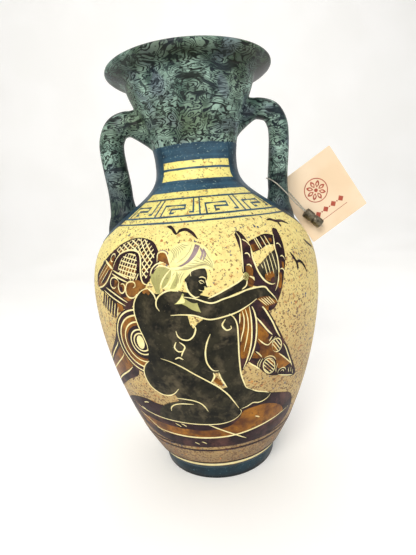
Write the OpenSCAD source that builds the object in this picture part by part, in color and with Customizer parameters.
// Belly amphora with two handles, a flared mouth and a hang tag on a cord.
// Millimetres. +Z up, origin under the foot on the vase axis, handles along X, front to -Y.

/* [Foot] */
// Radius of the foot where it stands
foot_r = 44.5; // [30:0.5:50]
// Radius of the foot where the body starts
foot_top_r = 45; // [32:0.5:55]
// Height of the foot
foot_h = 10; // [6:0.5:16]
// Radius of the hollow under the foot
recess_r = 33; // [20:0.5:38]
// Depth of the hollow under the foot
recess_d = 5; // [2:0.5:8]

/* [Body] */
// Largest radius of the belly
belly_r = 84.8; // [60:0.2:110]
// Height of the widest place
belly_z = 141; // [115:1:175]
// Thickness of the body wall
wall = 5; // [3:0.5:8]
// Thickness of the floor inside the body
floor_t = 6; // [4:0.5:12]
// Radius where shoulder and neck are joined
joint_r = 43; // [35:0.5:52]
// Height where shoulder and neck are joined
joint_z = 206; // [198:1:216]

/* [Neck and mouth] */
// Smallest radius of the neck
neck_r = 29.9; // [22:0.1:36]
// Height of the smallest place
neck_z = 231.4; // [222:0.2:240]
// Thickness of the neck wall
neck_wall = 4.5; // [3:0.5:7]
// Height where neck and mouth are joined
mouth_z = 241; // [236:1:246]
// Radius of the cup under the lip
cup_r = 46; // [38:0.2:54]
// Height of the cup's upper edge
cup_z = 286; // [272:1:300]
// Radius of the lip
lip_r = 59.2; // [50:0.2:66]
// Height of the lip, which is the height of the vase
lip_z = 295.2; // [284:0.5:320]
// Thickness of the lip at its edge
lip_t = 5.6; // [4:0.5:9]

/* [Handles] */
// Distance from the axis to the outside of a handle
handle_reach = 69.6; // [62:0.2:84]
// Radial thickness of the left handle
left_t = 17.8; // [12:0.2:22]
// Radial thickness of the right handle
right_t = 14.6; // [12:0.2:22]
// Width of the handles, front to back
handle_w = 18.5; // [14:0.5:24]
// Height of a handle's upper root on the cup
root_z = 263; // [254:1:268]
// How much lower the arch of the left handle is
left_drop = 3.2; // [0:0.2:6]
// How far the clay pads at the roots stand out round a handle
pad_t = 1.2; // [0.8:0.2:3]

/* [Hang tag] */
// Width of the card
card_w = 52; // [35:1:60]
// Height of the card
card_h = 55.5; // [35:0.5:65]
// Thickness of the card
card_t = 0.5; // [0.3:0.1:1]
// Lean of the card's lower edge
card_lean = 32; // [20:1:45]
// Radius of the punched hole
card_hole_r = 2; // [1.6:0.1:3]
// Distance from the card's left edge to the hole
card_hole_in = 5.5; // [4:0.5:10]
// Distance from the card's upper edge to the hole
card_hole_down = 7.2; // [4:0.1:12]
// Thickness of the cord
cord_d = 1; // [0.8:0.1:1.4]
// Length of the crimped seal
seal_l = 16; // [10:0.5:22]
// Diameter of the crimped seal
seal_d = 8; // [6:0.2:9]

/* [Hidden] */
$fn = 144;

// Points of a cubic curve from a to d, with the controls b and c
function bez(a, b, c, d, n) = [for (i = [0:n]) let (t = i / n, s = 1 - t)
    s * s * s * a + 3 * s * s * t * b + 3 * s * t * t * c + t * t * t * d];
// A list without its first point, so that joined curves share one
function rest(p) = [for (i = [1:len(p) - 1]) p[i]];
function backwards(p) = [for (i = [len(p) - 1:-1:0]) p[i]];

// Outer profiles, as [radius, height]
flare = 1.29;           // outward run per unit of height at the shoulder joint
joint_p = [joint_r, joint_z];
lower_p = bez([foot_top_r + 1, foot_h], [foot_top_r + 23, foot_h + 29.5],
              [belly_r, belly_z - 39], [belly_r, belly_z], 18);
upper_p = bez([belly_r, belly_z], [belly_r, belly_z + 40],
              joint_p + 17.6 * [flare, -1], joint_p, 20);
neck_low_p = bez(joint_p, joint_p + 9.6 * [-flare, 1], [neck_r, neck_z - 9.9], [neck_r, neck_z], 12);
cup_p = bez([neck_r, neck_z], [neck_r, neck_z + 22.7], [cup_r, cup_z - 9.2], [cup_r, cup_z], 16);
// The cup's curve is split at the height where the mouth is joined on
cup_low_p = [for (p = cup_p) if (p[1] < mouth_z - 0.6) p];
cup_high_p = [for (p = cup_p) if (p[1] > mouth_z + 0.6) p];
mouth_r = lookup(mouth_z, [for (p = cup_p) [p[1], p[0]]]);
// Rolled lip: the underside runs out from the cup and round the edge to the top
lip_under_p = bez([cup_r, cup_z], [cup_r + 1, cup_z + 1.7], [lip_r - 5, lip_z - lip_t - 1.4],
                  [lip_r - 1.2, lip_z - lip_t + 2.2], 6);
lip_edge_p = bez([lip_r - 1.2, lip_z - lip_t + 2.2], [lip_r + 0.4, lip_z - 2.6], [lip_r, lip_z],
                 [lip_r - 3, lip_z], 6);
lip_top_p = bez([lip_r - 3, lip_z], [cup_r + 4, lip_z], [cup_r - neck_wall, lip_z - 4],
                [cup_r - neck_wall, cup_z - 4], 8);

body_out = concat(lower_p, rest(upper_p));
neck_out = concat([joint_p], rest(neck_low_p), rest(cup_low_p), [[mouth_r, mouth_z]]);
mouth_out = concat([[mouth_r, mouth_z]], cup_high_p, rest(lip_under_p), rest(lip_edge_p));

// The inside of a wall: each outer point moved inwards, square to the curve
function inward(p, t) = [for (i = [0:len(p) - 1])
    let (q = p[min(i + 1, len(p) - 1)] - p[max(i - 1, 0)], k = t / norm(q))
    [p[i][0] - q[1] * k, p[i][1] + q[0] * k]];
function rows(p, low, high) = [for (q = p) if (q[1] > low && q[1] < high) q];
function r_at(p, z) = lookup(z, [for (q = p) [q[1], q[0]]]);

// Handle centre lines, as [distance from the axis, height], drawn for the right-hand side
function handle_line(t, drop) = let (out = handle_reach - t / 2, top = root_z - drop) [
    [34, top - 2], [41, top + 1], [47.5, top + 2.6], [out - 5.6, top - 0.2],
    [out - 0.9, top - 8], [out, top - 17], [out - 0.8, root_z - 31],
    [out - 2.2, root_z - 45], [out - 2.4, root_z - 57], [out - 1.6, root_z - 67],
    [out + 0.4, root_z - 77]];

// Smooth curve through a list of points, with n steps between each two
function pick(p, i) = p[max(0, min(len(p) - 1, i))];
function through(p, n) = concat([for (i = [0:len(p) - 2], k = [0:n - 1])
    let (t = k / n, a = pick(p, i - 1), b = p[i], c = p[i + 1], d = pick(p, i + 2))
    0.5 * (2 * b + (c - a) * t + (2 * a - 5 * b + 4 * c - d) * t * t
        + (3 * b - a - 3 * c + d) * t * t * t)], [p[len(p) - 1]]);

// A closed skin over rings of equally many points
module skin(rings) {
    m = len(rings[0]);
    n = len(rings);
    polyhedron([for (r = rings, p = r) p], concat(
        [[for (j = [m - 1:-1:0]) j]],
        [for (i = [0:n - 2], j = [0:m - 1]) let (k = (j + 1) % m) [i * m + j, i * m + k, (i + 1) * m + k]],
        [for (i = [0:n - 2], j = [0:m - 1]) let (k = (j + 1) % m) [i * m + j, (i + 1) * m + k, (i + 1) * m + j]],
        [[for (j = [0:m - 1]) (n - 1) * m + j]]));
}

// Solid of revolution filled to the axis, used to fit the handles and pads to the vase
module full(p) {
    rotate_extrude() polygon(concat([[0, p[0][1]]], p, [[0, p[len(p) - 1][1]]]));
}

module vase_outside() {
    full(body_out);
    full(neck_out);
    full(mouth_out);
}

module foot() {
    color([0.13, 0.31, 0.36]) rotate_extrude() polygon(concat(
        [[0, recess_d], [recess_r, recess_d], [recess_r + 1.5, 0.8], [recess_r + 2.5, 0]],
        [[foot_r - 1, 0], [foot_r, 0.8]],
        bez([foot_r, 0.8], [foot_r + 0.8, foot_h / 2], [foot_top_r, foot_h / 2], [foot_top_r, foot_h], 6),
        [[0, foot_h]]));
}

module body() {
    low = foot_h + floor_t;
    inner = rows(inward(body_out, wall), low + 6, joint_z);
    floor_r = r_at([for (q = inward(body_out, wall)) q], low + 6) - 6;
    color([0.86, 0.78, 0.52]) rotate_extrude() polygon(concat(
        [[0, foot_h]], body_out, [[joint_r - wall, joint_z]],
        backwards(rows(inner, low + 6, joint_z - 1.5)),
        bez([floor_r + 6, low + 6], [floor_r + 4, low + 2], [floor_r + 2, low], [floor_r - 3, low], 4),
        [[0, low]]));
}

module neck() {
    inner = rows(inward(neck_out, neck_wall), joint_z + 1, mouth_z - 1);
    color([0.93, 0.85, 0.5]) rotate_extrude() polygon(concat(
        neck_out, [[mouth_r - neck_wall, mouth_z]], backwards(inner), [[joint_r - wall, joint_z]]));
}

module mouth() {
    wall_in = rows(inward(cup_high_p, neck_wall), mouth_z + 1, cup_z - 5);
    color([0.4, 0.52, 0.46]) rotate_extrude() polygon(concat(
        mouth_out, rest(lip_top_p), backwards(wall_in), [[mouth_r - neck_wall, mouth_z]]));
}

// A pulled strap handle with an oval section, cut to sit on the vase
module handle_solid(t, drop) {
    line = through(handle_line(t, drop), 3);
    m = 24;
    skin([for (i = [0:len(line) - 1])
        let (d = pick(line, i + 1) - pick(line, i - 1), u = [d[1], -d[0]] / norm(d))
        [for (j = [0:m - 1]) let (a = 360 * j / m)
            [line[i][0] - u[0] * t / 2 * cos(a), handle_w / 2 * sin(a), line[i][1] - u[1] * t / 2 * cos(a)]]]);
}

module handle(t, drop) {
    color([0.36, 0.48, 0.43]) difference() {
        handle_solid(t, drop);
        vase_outside();
    }
}

// A thin oval slice, upright or lying
module oval(rx, ry) {
    linear_extrude(height = 0.4, center = true) scale([rx, ry]) circle(1, $fn = 32);
}

// Clay pressed round the handle's lower end, widening on the shoulder
module pad_lower(t, drop) {
    x = handle_reach - t / 2 - 2.2;
    z = root_z - 64;
    rx = t / 2 + pad_t;
    ry = handle_w / 2 + pad_t;
    color([0.16, 0.3, 0.36]) difference() {
        union() {
            hull() {
                translate([x, 0, z]) oval(rx, ry);
                translate([x + 0.8, 0, z - 7]) oval(rx + 1.6, ry + 1);
            }
            hull() {
                translate([x + 0.8, 0, z - 7]) oval(rx + 1.6, ry + 1);
                translate([x + 3, 0, z - 16]) oval(rx + 5.5, ry + pad_spread);
            }
        }
        handle_solid(t, drop);
        vase_outside();
    }
}

// Clay pressed round the handle's upper end, widening on the cup
module pad_upper(t, drop) {
    top = root_z - drop;
    rz = t / 2 + pad_t;
    ry = handle_w / 2 + pad_t;
    color([0.3, 0.42, 0.38]) difference() {
        hull() {
            translate([44.5, 0, top + 1.6]) rotate([0, 90, 0]) oval(rz, ry);
            translate([34, 0, top - 4]) rotate([0, 90, 0]) oval(rz + 3, ry + 2.4);
        }
        handle_solid(t, drop);
        vase_outside();
    }
}

// Hang tag: the card stands behind the right handle, the cord goes round that handle
pad_spread = 2.6;                // how far the lower pad widens, front to back
card_clear = 0.7;                // room between the lower pad and the card
tag_at = [handle_reach, 0, root_z - 1];
hole_at = tag_at + [-0.9, handle_w / 2 + pad_t + pad_spread + card_clear + card_t / 2, -55.5];
seal_at = tag_at + [18.4, 8, -79.6];
seal_turn = 132;                 // turn of the seal's axis from upright

// Route of the cord from tag_at: from the seal round the handle, through the hole, to the seal
cord_route = [
    [12.4, 6.6, -74.2], [9.4, 4.4, -71.6], [5.4, 1, -68.4], [0.9, -3.6, -64.6], [-3.1, -8, -61],
    [-7.6, -10.6, -56.6], [-12.2, -10.4, -51.6], [-16.2, -6.6, -47.8], [-17.8, 0, -46.4],
    [-16.4, 6.6, -46], [-12.6, 11.6, -47], [-8.6, 14.8, -49.4], [-5, 16.8, -52.4],
    [-2.2, 16.2, -54.6], [-0.4, 13.6, -56], [1.4, 11.4, -58.2], [4.4, 10.2, -62.2],
    [8, 9.8, -66.8], [11, 9.6, -70.8], [13.3, 9.4, -73.4]];

module tag_card() {
    color([0.98, 0.9, 0.8]) translate(hole_at) rotate([90, -card_lean, 0]) difference() {
        translate([card_w / 2 - card_hole_in, card_hole_down - card_h / 2, 0])
            cube([card_w, card_h, card_t], center = true);
        cylinder(r = card_hole_r, h = 4 * card_t, center = true, $fn = 48);
    }
}

module tag_cord() {
    line = through([for (p = cord_route) tag_at + p], 3);
    m = 8;
    color([0.7, 0.7, 0.66]) skin([for (i = [0:len(line) - 1])
        let (d = pick(line, i + 1) - pick(line, i - 1), f = d / norm(d),
             u = cross(f, [0.36, 0.48, 0.8]) / norm(cross(f, [0.36, 0.48, 0.8])), v = cross(f, u))
        [for (j = [0:m - 1]) line[i] + cord_d / 2 * (cos(360 * j / m) * u + sin(360 * j / m) * v)]]);
}

module tag_seal() {
    r = seal_d / 2;
    l = seal_l / 2;
    color([0.4, 0.38, 0.33]) translate(seal_at) rotate([0, seal_turn, 0]) {
        rotate_extrude($fn = 48) polygon([[0, -l], [r - 1, -l], [r, 1 - l], [r, -1], [r - 0.7, 0],
            [r, 1], [r, l - 1], [r - 1, l], [0, l]]);
        translate([0, 0, l]) cylinder(r = cord_d / 2, h = 2.6, $fn = 24);
    }
}

foot();
body();
neck();
mouth();
mirror([1, 0, 0]) handle(left_t, left_drop);  // handle_left
handle(right_t, 0);  // handle_right
mirror([1, 0, 0]) pad_upper(left_t, left_drop);  // pad_upper_left
pad_upper(right_t, 0);  // pad_upper_right
mirror([1, 0, 0]) pad_lower(left_t, left_drop);  // pad_lower_left
pad_lower(right_t, 0);  // pad_lower_right
tag_card();
tag_cord();
tag_seal();
